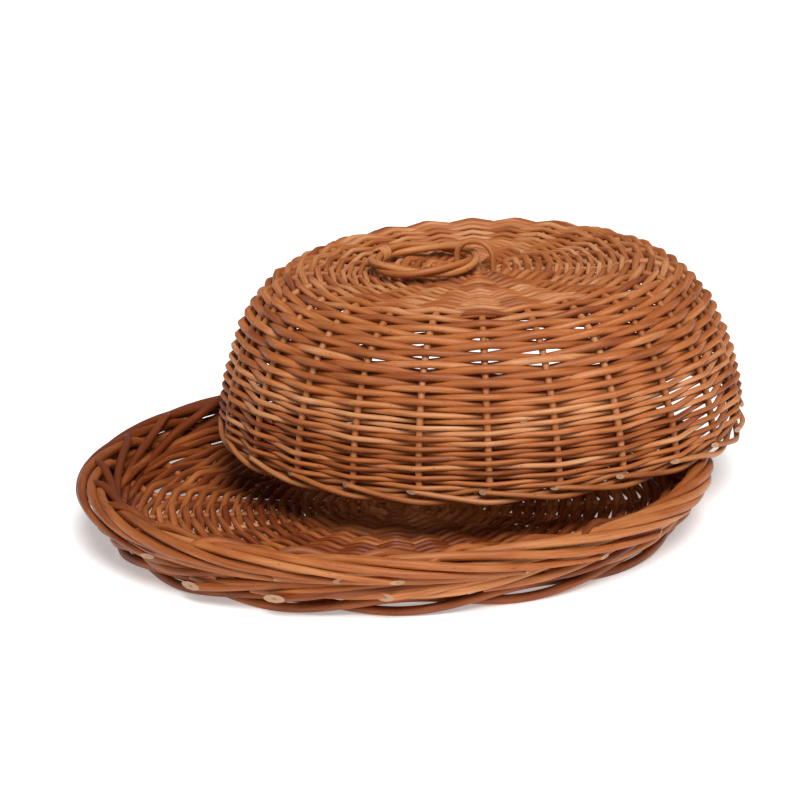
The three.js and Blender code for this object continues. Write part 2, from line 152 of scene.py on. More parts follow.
def makeWillow(name, tones):
    made = bpy.data.materials.new("buff_" + name)
    made.use_nodes = True
    tree = made.node_tree
    tree.nodes.clear()
    tone = addNode(tree, "ShaderNodeAttribute", attribute_name="tone").outputs["Fac"]
    grain = addNode(tree, "ShaderNodeAttribute", attribute_name="grain").outputs["Vector"]
    cut = addNode(tree, "ShaderNodeAttribute", attribute_name="cut").outputs["Fac"]

    noises = {}
    for key in ("streak", "cloud", "scar"):
        width, length, detail = buffWillow[key]
        scale = (1 / width, 1 / width, 1 / length)
        scaled = addNode(tree, "ShaderNodeVectorMath", {0: grain, 1: scale}, operation="MULTIPLY")
        sockets = {"Vector": scaled.outputs[0], "Scale": 1.0, "Detail": detail}
        sockets["Roughness"] = buffWillow["noiseRoughness"]
        noises[key] = addNode(tree, "ShaderNodeTexNoise", sockets).outputs[0]

    shade = tone
    for key, weight in buffWillow["weights"]:  # a noise's middle is 0.5
        sockets = {0: noises[key], 1: weight, 2: shade}
        shade = addNode(tree, "ShaderNodeMath", sockets, operation="MULTIPLY_ADD").outputs[0]
        shade = addNode(tree, "ShaderNodeMath", {0: shade, 1: weight / 2}, operation="SUBTRACT").outputs[0]
    skin = addNode(tree, "ShaderNodeValToRGB", {"Fac": shade})
    skin.color_ramp.elements.new(0.5)
    for element, colour in zip(skin.color_ramp.elements, tones):
        element.color = linear(colour)

    scars = remap(tree, noises["scar"], buffWillow["scarLimits"], (0.0, buffWillow["scarDepth"]))
    scarred = mixColours(tree, scars, skin.outputs[0], linear(buffWillow["scarColour"]))
    cutFace = addNode(tree, "ShaderNodeValToRGB", {"Fac": cut})
    for element, (colour, position) in zip(cutFace.color_ramp.elements, buffWillow["cutColours"]):
        element.position = position
        element.color = linear(colour)
    sockets = {0: cut, 1: buffWillow["cutMark"]}
    isCut = addNode(tree, "ShaderNodeMath", sockets, operation="GREATER_THAN").outputs[0]

    bump = addNode(tree, "ShaderNodeBump", {
        "Height": noises["streak"],
        "Strength": buffWillow["bumpStrength"],
        "Distance": buffWillow["bumpDepth"] * mm,
    })
    shader = addNode(tree, "ShaderNodeBsdfPrincipled", {
        "Base Color": mixColours(tree, isCut, scarred, cutFace.outputs[0]),
        "Roughness": remap(tree, noises["streak"], buffWillow["roughnessLimits"], buffWillow["roughness"]),
        "Normal": bump.outputs[0],
        "IOR": buffWillow["ior"],
        "Specular IOR Level": buffWillow["specular"],
    })
    addNode(tree, "ShaderNodeOutputMaterial", {"Surface": shader.outputs[0]})
    return made


willow = {name: makeWillow(name, tones) for name, tones in buffWillow["tones"].items()}
print("materials:", len(willow))


# Rods: each is a round tube along a line, gathered in a bundle that becomes one piece

rodShape = {
    "sides": 8,
    "thickSides": 10,  # of the tray's rods and the ring
    "fineSteps": 12,  # between two corners of a line, before it is spaced evenly
    "fewestSteps": 4,
    "cutRoom": 1.2,  # kept free of points before a slanted cut, as a share of its reach along the rod
    "pattern": 900,  # mm: each rod starts elsewhere in the willow's pattern
    "cutMarks": (1.0, 0.5),  # rim and middle
}
upwards = np.array([0.0, 0.0, 1.0])


def unit(vectors):
    return vectors / np.linalg.norm(vectors, axis=-1, keepdims=True)


def around(angle, r, z):
    angle, r, z = np.broadcast_arrays(angle, r, z)
    return np.stack([r * np.cos(angle), r * np.sin(angle), z], -1)


def walkedAlong(line):
    return np.concatenate([[0.0], np.cumsum(np.linalg.norm(np.diff(line, axis=0), axis=1))])


def smoothLine(corners, spacing):  # columns after the third are carried along, such as a radius
    corners = np.asarray(corners, float)
    ends = np.vstack([2 * corners[0] - corners[1], corners, 2 * corners[-1] - corners[-2]])
    share = np.linspace(0, 1, rodShape["fineSteps"], endpoint=False)[:, None]
    fine = []
    for a, b, c, d in zip(ends, ends[1:], ends[2:], ends[3:]):
        square = 2 * a - 5 * b + 4 * c - d
        cube = 3 * b - a - 3 * c + d
        fine.append(b + 0.5 * ((c - a) * share + square * share ** 2 + cube * share ** 3))
    fine = np.vstack([*fine, corners[-1:]])
    walked = walkedAlong(fine[:, :3])
    at = np.linspace(0, walked[-1], max(int(walked[-1] / spacing), rodShape["fewestSteps"]) + 1)
    return np.column_stack([np.interp(at, walked, column) for column in fine.T])


def carriedUps(ahead, up):  # the way up is carried along the rod without twist
    ups = np.empty_like(ahead)
    for i, way in enumerate(ahead):
        up = up - way * np.dot(up, way)
        up = up / np.linalg.norm(up)
        ups[i] = up
    return ups


def newBundle(toneShift=0.0):  # the rods of a piece may be darker or paler than others; on several pieces the darkening is painted shade
    lists = {key: [] for key in ("points", "quads", "triangles", "tone", "grain", "cut")}
    return {**lists, "size": 0, "toneShift": toneShift}


def anyTone(spread=0.15):  # from 0, the darkest, to 1
    return float(np.clip(dice.normal(0.5, spread), 0.0, 1.0))


def anyWave(waves, along):  # a bend to and fro that starts anywhere
    return np.sin(waves * along + dice.uniform(0, 6))


def eased(share):
    return share * share * (3 - 2 * share)


def addPoints(bundle, points, tone, grain, cut):
    first = bundle["size"]
    bundle["points"].append(points)
    bundle["tone"].append(np.full(len(points), tone + bundle["toneShift"]))
    bundle["grain"].append(grain)
    bundle["cut"].append(np.broadcast_to(cut, len(points)))
    bundle["size"] += len(points)
    return first


# cuts has a slant in degrees and the way that the cut faces, for the first end and for the last
def addRod(bundle, line, radius, up, tone, sides=rodShape["sides"], closed=False, cuts=None, flat=1.0):
    radius = np.array(np.broadcast_to(radius, len(line)), float)
    oneUp = np.ndim(up) == 1
    cuts = cuts or ((0, up if oneUp else up[0]), (0, up if oneUp else up[-1]))
    walked = walkedAlong(line)
    if not closed:
        slants = [math.tan(math.radians(slant)) for slant, facing in cuts]
        first, last = (rodShape["cutRoom"] * radius[end] * slants[end] for end in (0, -1))
        kept = (walked > first) & (walked < walked[-1] - last)
        kept[[0, -1]] = True
        line, radius, walked = line[kept], radius[kept], walked[kept]
        up = up if oneUp else up[kept]
    count = len(line)
    ahead = unit(np.roll(line, -1, 0) - np.roll(line, 1, 0)) if closed else unit(np.gradient(line, axis=0))
    if oneUp:
        ups = carriedUps(ahead, np.asarray(up, float))
    else:
        ups = unit(up - ahead * np.sum(up * ahead, -1, keepdims=True))
    angle = np.arange(sides) * 2 * math.pi / sides
    c, s = flat * np.cos(angle)[None, :, None], np.sin(angle)[None, :, None]
    offset = radius[:, None, None] * (c * ups[:, None] + s * np.cross(ahead, ups)[:, None])
    if not closed:
        for end, sign in ((0, 1), (-1, -1)):
            facing = cuts[end][1]
            across = unit(facing - ahead[end] * np.dot(facing, ahead[end]) + 1e-9)  # never quite nothing
            offset[end] += sign * slants[end] * (offset[end] @ across)[:, None] * ahead[end]
    points = line[:, None] + offset
    start = dice.uniform(0, rodShape["pattern"])
    grain = np.empty_like(points)
    grain[..., 0] = radius[:, None] * np.cos(angle) + start
    grain[..., 1] = radius[:, None] * np.sin(angle)
    grain[..., 2] = (walked + start)[:, None]
    first = addPoints(bundle, points.reshape(-1, 3), tone, grain.reshape(-1, 3), 0.0)
    step = np.arange(count if closed else count - 1)[:, None] * sides
    onward = (step + sides) % (count * sides)
    here = np.arange(sides)
    other = (here + 1) % sides
    quads = np.stack([step + here, step + other, onward + other, onward + here], -1)
    bundle["quads"].append(first + quads.reshape(-1, 4))
    if closed:
        return
    for end, turned in ((0, True), (-1, False)):
        capPoints = np.vstack([points[end], line[end]])
        capGrain = np.vstack([grain[end], grain[end].mean(0)])
        rimMark, middleMark = rodShape["cutMarks"]
        capCut = np.array([rimMark] * sides + [middleMark])
        rim = addPoints(bundle, capPoints, tone, capGrain, capCut)
        middle = np.full(sides, sides)
        fan = [middle, other, here] if turned else [middle, here, other]
        bundle["triangles"].append(rim + np.stack(fan, -1))


def makePiece(name, bundle, place, body, slotName, *nodes):
    turn, origin = place
    points = (np.vstack(bundle["points"]) @ turn.T + origin) * mm
    faces = np.vstack(bundle["quads"]).tolist()
    if bundle["triangles"]:
        faces += np.vstack(bundle["triangles"]).tolist()
    mesh = bpy.data.meshes.new(name)
    mesh.from_pydata(points.tolist(), [], faces)
    layers = (("tone", "FLOAT", "value"), ("cut", "FLOAT", "value"), ("grain", "FLOAT_VECTOR", "vector"))
    for key, kind, field in layers:
        values = np.concatenate(bundle[key]).astype(np.float32).ravel()
        mesh.attributes.new(key, kind, "POINT").data.foreach_set(field, values)
    mesh.shade_smooth()
    mesh.materials.append(willow[slotName])
    piece = bpy.data.objects.new(name, mesh)
    bpy.context.scene.collection.objects.link(piece)
    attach(piece, body)
    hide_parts(*nodes)


# Weaving: two weavers take turns, each outside every other stake, and each steps up past the other's row
# once a turn, in the last quarter before the left side

weaving = {
    "stepsPerStake": 8,
    "straight": 0.9,  # rods lie nearly straight from stake to stake
    "drift": 0.45,  # unevenness of the rows, mm
    "sharedWaves": (3, 5, 8),  # of that unevenness, in a turn
    "wavePhases": (1.7, 0.4),  # from wave to wave and from row to row
    "ownWaves": (2, 6),  # fewest and most in a turn, of one rod alone
    "ownShare": 0.6,
    "taper": 0.14,
    "thickness": 0.06,  # spread from rod to rod
    "slant": 58,  # of the cut ends, degrees
    "startLap": 0.45,  # a rod's ends run on past the stake where the next rod starts, in stake spaces
    "endLap": 0.27,
    "startFades": 1.2,  # stake spaces, until a rod that starts beside another lies in its own row
    "standsOut": 0.9,  # a start that shows lies this many radii further out
    "stepUp": 0.25,  # turns
}


def rowsBetween(first, last, firstPitch, lastPitch):
    mean = (firstPitch + lastPitch) / 2
    share = np.linspace(0, 1, round((last - first) / mean) + 1)
    return first + (last - first) * share * (firstPitch + (lastPitch - firstPitch) * share / 2) / mean


# A meridian is the stakes' line from the middle outwards: the way along it, radius, height, the way its
# outside faces, the squeeze of the rods into the stakes and how full the rows are
def makeMeridian(r, z, facing, squeeze, fill):
    s = walkedAlong(np.column_stack([r, z]))
    squeeze, fill = (np.broadcast_to(values, len(r)) for values in (squeeze, fill))
    faceR, faceZ = facing.T
    return {"s": s, "r": r, "z": z, "faceR": faceR, "faceZ": faceZ, "squeeze": squeeze, "fill": fill}


def flatMeridian(height, squeeze, fill):
    r = np.array([0.0, 300.0])  # past any edge
    return makeMeridian(r, np.full(2, height), np.array([[0.0, 1.0]] * 2), squeeze, fill)


# band: meridian, rows (their places along it), stakes, stakeRadius, rodLength (shortest and longest),
# endsOutside (share of the joins that show) and tuck (of the others)
def weaverRod(bundle, band, weaver, begin, end, tucks):
    spacing = 2 * math.pi / band["stakes"]
    rows = band["rows"]
    steps = int((end - begin) / spacing * weaving["stepsPerStake"])
    u = np.linspace(begin, end, max(steps, weaving["stepsPerStake"]) + 1)
    angle = u + math.pi
    turns, part = np.divmod(u / (2 * math.pi), 1)
    step = np.clip((part - 1) / weaving["stepUp"] + 1, 0, 1)
    turns = np.minimum(turns + eased(step), len(rows) // 2 - 1)
    row = 2 * turns + weaver
    share = (u - begin) / (end - begin)
    slim = 1 + weaving["taper"] * (0.5 - share) * dice.choice([-1, 1])
    slim = slim + dice.normal(0, weaving["thickness"])
    byWave, byRow = weaving["wavePhases"]
    uneven = sum(np.sin(k * angle + byWave * k + byRow * row) for k in weaving["sharedWaves"]) / 2
    own = anyWave(dice.uniform(*weaving["ownWaves"]), u)
    drift = weaving["drift"] * (uneven + weaving["ownShare"] * own)
    s = np.interp(row, np.arange(len(rows)), rows) + drift
    r, z, faceR, faceZ, squeeze, fill = (
        np.interp(s, band["meridian"]["s"], band["meridian"][key])
        for key in ("r", "z", "faceR", "faceZ", "squeeze", "fill")
    )
    radius = np.interp(row, np.arange(len(rows)), np.gradient(rows)) / 2 * fill * slim
    fromMiddle = (angle / spacing) % 1 - 0.5
    chord = math.cos(spacing / 2) / np.cos(fromMiddle * spacing)
    r = r * (1 - weaving["straight"] * (1 - chord))
    x = band["stakes"] / 2 * angle + math.pi * weaver
    wave = (np.cos(x) + np.cos(3 * x) / 9 + np.cos(5 * x) / 25) / 1.151  # a rounded zigzag, up to 1
    out = (band["stakeRadius"] + radius - squeeze) * wave
    startTuck, endTuck = tucks
    fade = np.clip(weaving["startFades"] - (u - begin) / spacing, 0, 1)
    out = out + startTuck * radius * eased(fade)
    facing = np.stack([faceR * np.cos(angle), faceR * np.sin(angle), faceZ], -1)
    line = around(angle, r + out * faceR, z + out * faceZ)
    ends = (facing[0] * np.sign(startTuck), facing[-1] * np.sign(endTuck))
    addRod(bundle, line, radius, facing, anyTone(), cuts=[(weaving["slant"], end) for end in ends])


def weave(bundleAt, band):  # bundleAt(row) gives the bundle that a rod at that row belongs to
    spacing = 2 * math.pi / band["stakes"]
    rows = band["rows"]
    for weaver in (0, 1):
        begin, total = -2 * math.pi * weaving["stepUp"], 2 * math.pi * (len(rows) // 2)
        tuck = -band["tuck"]
        while begin < total - spacing:
            s = np.interp(begin / math.pi + weaver, np.arange(len(rows)), rows)
            r = np.interp(s, band["meridian"]["s"], band["meridian"]["r"])
            join = round((begin + dice.uniform(*band["rodLength"]) / r) / spacing)
            outside = dice.random() < band["endsOutside"]
            join += (join + weaver) % 2 if outside else (join + weaver + 1) % 2
            end = min(join * spacing, total)
            nextTuck = weaving["standsOut"] if outside else -band["tuck"]
            lapped = (begin - weaving["startLap"] * spacing, end + weaving["endLap"] * spacing)
            middleRow = (begin + end) / 2 / math.pi
            weaverRod(bundleAt(middleRow), band, weaver, *lapped, (tuck, nextTuck))
            begin, tuck = end, nextTuck


# Slath: the crossed sticks in the middle of the floor and of the crown, opened out to twelve spokes

crossing = {
    "spread": math.radians(30),
    "slit": 1.3,  # one arm's sticks are slit and swollen, and the others pass through them
    "straight": 8,  # mm from the middle
    "openFrom": 22,
    "taper": (0.95, 0.85),
    "spacing": 3.0,
}
centreWeave = {
    "fill": 1.2,
    "bindingPitch": 3.0,
    "boundSpokes": 4,  # at first the sticks are bound in threes
    "openSpokes": 12,
    "rodLength": (260, 480),
    "endsOutside": 0.25,
    "tuck": 0.5,
}


def slathSticks(bundle, slath):
    for arm in (0, 1):
        for lane in (-1, 0, 1):
            beside = lane * slath["stick"] * 2
            swell = crossing["slit"] if arm else 1.0
            half = [(0, beside, slath["height"], slath["stick"] * swell)]
            half.append((crossing["straight"], beside, slath["height"], slath["stick"]))
            for r, wide in zip((crossing["openFrom"], slath["reach"]), crossing["taper"]):
                spot = around(crossing["spread"] * lane, r, slath["height"])
                half.append((*spot, slath["stick"] * wide))
            other = [(-x, y, z, radius) for x, y, z, radius in half[:0:-1]]
            line = smoothLine(other + half, crossing["spacing"])
            if arm:
                line[:, :2] = line[:, 1::-1] * (-1, 1)
            addRod(bundle, line[:, :3], line[:, 3], upwards, anyTone())


def centreRods(bundle, centre):
    meridian = flatMeridian(centre["height"], centre["squeeze"], centreWeave["fill"])
    common = {**centreWeave, "meridian": meridian, "stakeRadius": centre["stick"]}
    pitch = centreWeave["bindingPitch"]
    binding = rowsBetween(centre["bound"], centre["opened"] - pitch, pitch, pitch)
    weave(lambda row: bundle, {**common, "rows": binding, "stakes": centreWeave["boundSpokes"]})
    opened = rowsBetween(centre["opened"], centre["edge"], centre["pitch"], centre["pitch"])
    weave(lambda row: bundle, {**common, "rows": opened, "stakes": centreWeave["openSpokes"]})


# Tray floor

floorWeave = {
    "height": 8.4,
    "pitch": (3.4, 4.9),  # finer rods near the middle
    "squeeze": 1.7,
    # painted shade on the floor's rows, which lie in the lid's shadow inside the tray
    "toneShift": -0.34,
    "fill": ((140, 1.16), (167, 1.0), (172, 1.04), (176, 1.15)),  # radius, then how full
    "rise": ((150, 8.4), (158, 9.2), (164, 11.2), (169, 14.2), (172.5, 18.0), (176, 24.5)),
    "flatPoints": 40,
    "riseSpacing": 1.0,
    "ends": (3.0, 1.0),  # mm left between the centre and the first row, and after the last
    "rodLength": (700, 1300),
    "endsOutside": 0.3,
    "tuck": 0.5,
}
floorCentre = {
    "height": 8.4, "stick": 2.2, "squeeze": 1.2, "bound": 10.5, "opened": 19.0,
    "edge": 60.6, "pitch": 3.8, "reach": 59.0, "toneShift": -0.2,
}


def floorMeridian():  # the rows run on up the inside of the wall
    flat = np.linspace(0, floorWeave["rise"][0][0], floorWeave["flatPoints"], endpoint=False)
    risen = smoothLine([(r, 0, z) for r, z in floorWeave["rise"]], floorWeave["riseSpacing"])
    r = np.concatenate([flat, risen[:, 0]])
    z = np.concatenate([np.full(len(flat), floorWeave["height"]), risen[:, 2]])
    ahead = unit(np.gradient(np.column_stack([r, z]), axis=0))
    facing = np.column_stack([-ahead[:, 1], ahead[:, 0]])
    fill = np.interp(r, *np.transpose(floorWeave["fill"]))
    return makeMeridian(r, z, facing, floorWeave["squeeze"], fill)


floorBundle = newBundle(floorWeave["toneShift"])
risingFloor = floorMeridian()
fromCentre, fromTop = floorWeave["ends"]
floorEnds = (trayShape["centreRadius"] + fromCentre, risingFloor["s"][-1] - fromTop)
weave(lambda row: floorBundle, {
    **floorWeave,
    "meridian": risingFloor,
    "rows": rowsBetween(*floorEnds, *floorWeave["pitch"]),
    "stakes": trayShape["stakes"],
    "stakeRadius": trayShape["spokeRadius"],
})
makePiece("floor_weavers", floorBundle, trayPlace, "tray", "willow_weavers", "tray_floor_weave")
floorCentreBundle = newBundle(floorCentre["toneShift"])
centreRods(floorCentreBundle, floorCentre)
makePiece(
    "floor_centre_weavers", floorCentreBundle, trayPlace, "tray", "willow_weavers", "tray_floor_centre"
)
floorSlath = newBundle()
slathSticks(floorSlath, floorCentre)
makePiece("floor_slath_sticks", floorSlath, trayPlace, "tray", "willow_stakes", "tray_floor_cross")
print("tray floor woven")


# Tray rods: each lies in the floor, rises over the foot, and runs up, over and down in the border

trayRods = {
    "radius": 3.15,
    "thickness": (0.92, 1.05),  # thinnest and thickest rod, as a share of that
    "taperFrom": 0.6,  # share of the way through the border
    "spokeSunk": 1.2,  # under the rows of the floor
    "spokeThrough": (60.5, 95, 130),  # radii where it lies flat
    "turnUp": ((-14, 0.0), (-3, 3.0)),  # out from the floor's edge and up from the spoke
    "wallFoot": (1 / 12, 5.0, -0.4),  # stakes passed, out from the floor's edge and up from the wall's base
    "borderFrom": 0.5,  # stakes passed where it enters the border
    "showsAfter": 3,  # stakes to the place where most of it shows
    "tipRadius": (1.3, 2.0),
    "tipHeight": 22.0,  # the longest tips end about here on the outside
    "tipSlant": (66, 74),  # degrees
    "short": 7.0,  # others end up to this much earlier
    "tucked": 3.6,  # and some dive in under the next rod by this much
    "tuckedShares": (0, 0.8, 1),
    "tuckedOver": 0.2,  # share of the way, at its end
    "sunk": 0.5,
    "uneven": 0.7,
    "bulges": (4, 9),
    "sways": (5, 11),
    "strays": 0.8,  # mm at the tip
    "points": 40,  # in the border
    "spacing": 4.0,  # point to point along the whole rod
    "steep": 0.28,  # stakes passed on the way up inside, for each one passed later
    # where the rim isn't round or level: angle and width in degrees, how far out and how far up, mm
    "askew": ((157, 34, 0.0, -3.4), (-12, 27, 4.0, 0.0)),
    "paintedShade": (150, 60, 0.5),  # painted shade where the lid's shadow falls on the tray's left: rods round this angle, over this width, darker by this much of the tone
}
lean, bend = trayShape["lean"], trayShape["bend"]
alongWall = np.array([math.sin(lean), math.cos(lean)])
acrossWall = np.array([math.cos(lean), -math.sin(lean)])
bendMiddle = np.array([trayShape["outside"], trayShape["height"]]) - (trayShape["rodRadius"] + bend)
insideLeg = (bendMiddle[1] - acrossWall[1] * bend - trayShape["wallBase"]) / alongWall[1]
outsideLeg = (bendMiddle[1] + acrossWall[1] * bend - trayRods["tipHeight"]) / alongWall[1]
borderLength = insideLeg + math.pi * bend + outsideLeg
trayStake = 2 * math.pi / trayShape["stakes"]


def borderPlace(length, swell):  # radius and height, after a length of the way up, over and down
    turn = np.clip((length - insideLeg) / bend, 0, math.pi)[:, None]
    straight = np.minimum(length - insideLeg, 0) - np.maximum(length - insideLeg - math.pi * bend, 0)
    outward = -acrossWall * np.cos(turn) + alongWall * np.sin(turn)
    return bendMiddle + outward * (bend + swell)[:, None] + alongWall * straight[:, None]


def nearAngle(angle, middle, width):  # 1 at the middle, and less over the width, both in degrees
    away = (np.degrees(angle) - middle + 180) % 360 - 180
    return np.exp(-(away / width) ** 2)


# painted shade: a rod's random tone, made darker round the tray's left, where the lid's shadow and the
# hollow fall
def shadedWallTone(angle):
    middle, width, step = trayRods["paintedShade"]
    return anyTone() - step * nearAngle(angle, middle, width)


def settled(line):  # with the rim's bulge and sag
    angle = np.arctan2(line[:, 1], line[:, 0])
    base, top = trayShape["wallBase"], trayShape["height"]
    share = np.clip((line[:, 2] - base) / (top - base), 0, 1)
    moved = line
    for middle, width, out, up in trayRods["askew"]:
        here = share * nearAngle(angle, middle, width)
        moved = moved + around(angle, out * here, up * here)
    return moved


for index in range(trayShape["stakes"]):
    start = index * trayStake
    length = np.linspace(0, borderLength - dice.uniform(0, trayRods["short"]), trayRods["points"])
    share = length / length[-1]
    swell = trayRods["uneven"] * anyWave(dice.uniform(*trayRods["bulges"]), share) - trayRods["sunk"]
    ending = np.clip(1 - (1 - share) / trayRods["tuckedOver"], 0, 1)
    swell -= dice.choice(trayRods["tuckedShares"]) * trayRods["tucked"] * ending
    sway = trayRods["uneven"] * anyWave(dice.uniform(*trayRods["sways"]), share)
    place = borderPlace(length + sway + dice.normal(0, trayRods["strays"]) * share, swell)
    passed = (length - (1 - trayRods["steep"]) * np.minimum(length, insideLeg)) / trayShape["rodSpacing"]
    angle = start + (trayRods["borderFrom"] + passed) * trayStake
    thick = trayRods["radius"] * dice.uniform(*trayRods["thickness"])
    thin = dice.uniform(*trayRods["tipRadius"])
    radius = np.interp(share, [0, trayRods["taperFrom"], 1], [thick, thick, thin])
    edge, height = trayShape["floorEdge"], floorWeave["height"] - trayRods["spokeSunk"]
    spoke = [(r, height) for r in trayRods["spokeThrough"]]
    spoke += [(edge + out, height + up) for out, up in trayRods["turnUp"]]
    corners = [(*around(start, r, z), trayShape["spokeRadius"]) for r, z in spoke]
    footPassed, out, up = trayRods["wallFoot"]
    foot = around(start + footPassed * trayStake, edge + out, trayShape["wallBase"] + up)
    corners.append((*foot, thick))
    corners += [(*spot, r) for spot, r in zip(around(angle, place[:, 0], place[:, 1]), radius)]
    line = smoothLine(corners, trayRods["spacing"])
    outward = around(angle[-1], 1.0, -0.2)  # and a little down
    bundle = newBundle()
    cuts = ((0, upwards), (dice.uniform(*trayRods["tipSlant"]), outward))
    tone = shadedWallTone(start + trayRods["showsAfter"] * trayStake)
    addRod(bundle, settled(line[:, :3]), line[:, 3], upwards, tone, rodShape["thickSides"], cuts=cuts)
    number = f"{index + 1:02d}"
    makePiece("tray_rod_" + number, bundle, trayPlace, "tray", "willow_border", "tray_stake_" + number)
print("tray rods laid in")


# Wall rods: core rods fill the hollow of the border, inner rods come out at its top and run down along
# the inside, steeply at the right end, and side rods lie outside below the border's tips at the front
# and at the right end, a few with their butt ends showing

coreRods = {
    "radius": 3.3,
    "waver": 0.5,
    "wavers": (9, 7),  # in a turn, outwards and upwards
    "points": 240,
    "courses": ((0.0, 0, 360), (7.0, 0, 360), (13.0, 45, 235)),  # depth, then where it starts and ends
}
innerRods = {
    "radius": 2.9,
    "thickness": (0.92, 1.06),
    "taper": 0.7,
    "taperFrom": 0.5,  # share of the course
    "from": 0.3,  # of the way from stake to stake
    "strays": 0.12,
    "unevenAlong": 0.5,
    "unevenOver": 0.3,
    # stakes passed, way along the border's line past the top of its inside leg, and height over that line
    "course": (
        (0, 11.0, -4.5), (0.2, 7.0, 0.5), (0.45, 3.5, 4.2), (0.85, -1.0, 5.6),
        (1.4, -7.0, 5.6), (2.0, -13.5, 5.2), (2.5, -19.0, 4.2), (2.9, -23.0, 3.0),
    ),
    "steepCourse": (
        (0, 2.5, -3.5), (0.1, -0.5, 0.0), (0.22, -4.5, 2.6), (0.4, -9.5, 3.6),
        (0.6, -15.5, 3.6), (0.8, -22.0, 2.0),
    ),
    "steepEnds": (-3, 7),  # stakes at the right end where they are steep, thinner and twice as many
    "steepRadius": 2.2,
    "steepStep": 0.5,
    # painted shade on the inner rods, in the hollow inside the wall
    "toneShift": -0.2,
}
sideRods = {
    "radius": 3.0,
    "thickness": (0.93, 1.05),
    "tip": 1.8,
    "circle": (187.4, 186.6),
    "rise": (13.4, 28.0),
    "uneven": 0.6,
    "waves": 7,
    "sweep": 2.5,  # stakes
    "span": (10, 26),  # stakes, round the front to the right end
    "strays": 0.15,  # stake spaces
    # butt ends that stand out: stake, slant of the cut in degrees and how much higher it lies
    "showing": ((15.3, 73, -1.0), (16.5, 71, 0.0), (17.85, 63, 4.0)),
    "proud": 2.2,  # mm
    "showingRadius": 2.65,
    "hidden": 8.0,  # the other rods start thin, and lie in by this much there
    "hiddenTip": 1.8,
    "startFades": 0.3,  # share of the sweep after which both kinds lie alike
    "thickFrom": 0.15,
    "points": 36,
    # painted shade on the side rods, under the border
    "toneShift": -0.1,
}

sideBundle = newBundle()
for depth, begin, end in coreRods["courses"]:
    closed = end - begin == 360
    angle = np.radians(np.linspace(begin, end, coreRods["points"], endpoint=not closed))
    middle = bendMiddle - alongWall * depth
    outWavers, upWavers = coreRods["wavers"]
    r = middle[0] + coreRods["waver"] * np.sin(outWavers * angle + depth)
    z = middle[1] + coreRods["waver"] * np.cos(upWavers * angle)
    line = around(angle, r, z)
    outward = around(angle, 1.0, 0.0)
    addRod(sideBundle, settled(line), coreRods["radius"], outward, anyTone(), closed=closed)
firstSteep, firstSlant = innerRods["steepEnds"]
steepStakes = np.arange(firstSteep, firstSlant, innerRods["steepStep"])
steepRods = [(stake, "steepCourse", "steepRadius") for stake in steepStakes]
slantStakes = range(firstSlant, firstSteep + trayShape["stakes"])
for stake, course, radius in steepRods + [(stake, "course", "radius") for stake in slantStakes]:
    passed, along, over = np.transpose(innerRods[course])
    start = (stake + innerRods["from"] + dice.uniform(-1, 1) * innerRods["strays"]) * trayStake
    along = insideLeg + along + dice.normal(0, innerRods["unevenAlong"], len(along))
    place = borderPlace(along, over + dice.normal(0, innerRods["unevenOver"], len(along)))
    thick = innerRods[radius] * dice.uniform(*innerRods["thickness"])
    ends = [thick, thick * innerRods["taper"]]
    radius = np.interp(passed / passed[-1], [innerRods["taperFrom"], 1], ends)
    corners = np.column_stack([around(start + passed * trayStake, place[:, 0], place[:, 1]), radius])
    line = smoothLine(corners, trayRods["spacing"])
    tone = shadedWallTone(start) + innerRods["toneShift"]
    addRod(sideBundle, settled(line[:, :3]), line[:, 3], upwards, tone, rodShape["thickSides"])
strays = sideRods["strays"]
hidden = [(stake + dice.uniform(-strays, strays), 0, 0.0) for stake in range(*sideRods["span"])]
for stake, slant, lift in hidden + list(sideRods["showing"]):
    start = stake * trayStake
    inset = -sideRods["proud"] if slant else sideRods["hidden"]
    share = np.linspace(0, 1, sideRods["points"])
    angle = start + sideRods["sweep"] * trayStake * share
    fade = np.clip(1 - share / sideRods["startFades"], 0, 1)
    r = np.interp(share, [0, 1], sideRods["circle"]) - inset * fade
    z = np.interp(share, [0, 1], sideRods["rise"]) + lift * (1 - share)
    z = z + sideRods["uneven"] * anyWave(sideRods["waves"], share)
    thick = sideRods["showingRadius" if slant else "radius"] * dice.uniform(*sideRods["thickness"])
    first = thick if slant else sideRods["hiddenTip"]
    radius = np.interp(share, [0, sideRods["thickFrom"], 1], [first, thick, sideRods["tip"]])
    outward = around(start, 1.0, -0.1)  # and a little down
    cuts = ((slant, outward), (0, outward))
    tone = shadedWallTone(start) + sideRods["toneShift"]
    line = settled(around(angle, r, z))
    addRod(sideBundle, line, radius, upwards, tone, rodShape["thickSides"], cuts=cuts)
makePiece("tray_side_rods", sideBundle, trayPlace, "tray", "willow_border", "tray_wall_weave")


# Foot: two rods twisted loosely round each other, so that light shows between them

footRods = {
    "circle": 174.5, "swing": 3.3, "turns": 7, "radius": 2.85, "points": 360,
    "rise": (2.9, 1.3),  # half the height of a gap between the two; the second is added at the front
    "front": (-78, 26),  # angle and width, degrees
    "firstGap": math.radians(-91),  # a gap between the two is widest here, and then every half turn
    # painted shade on the foot, under the tray
    "toneShift": -0.3,
}

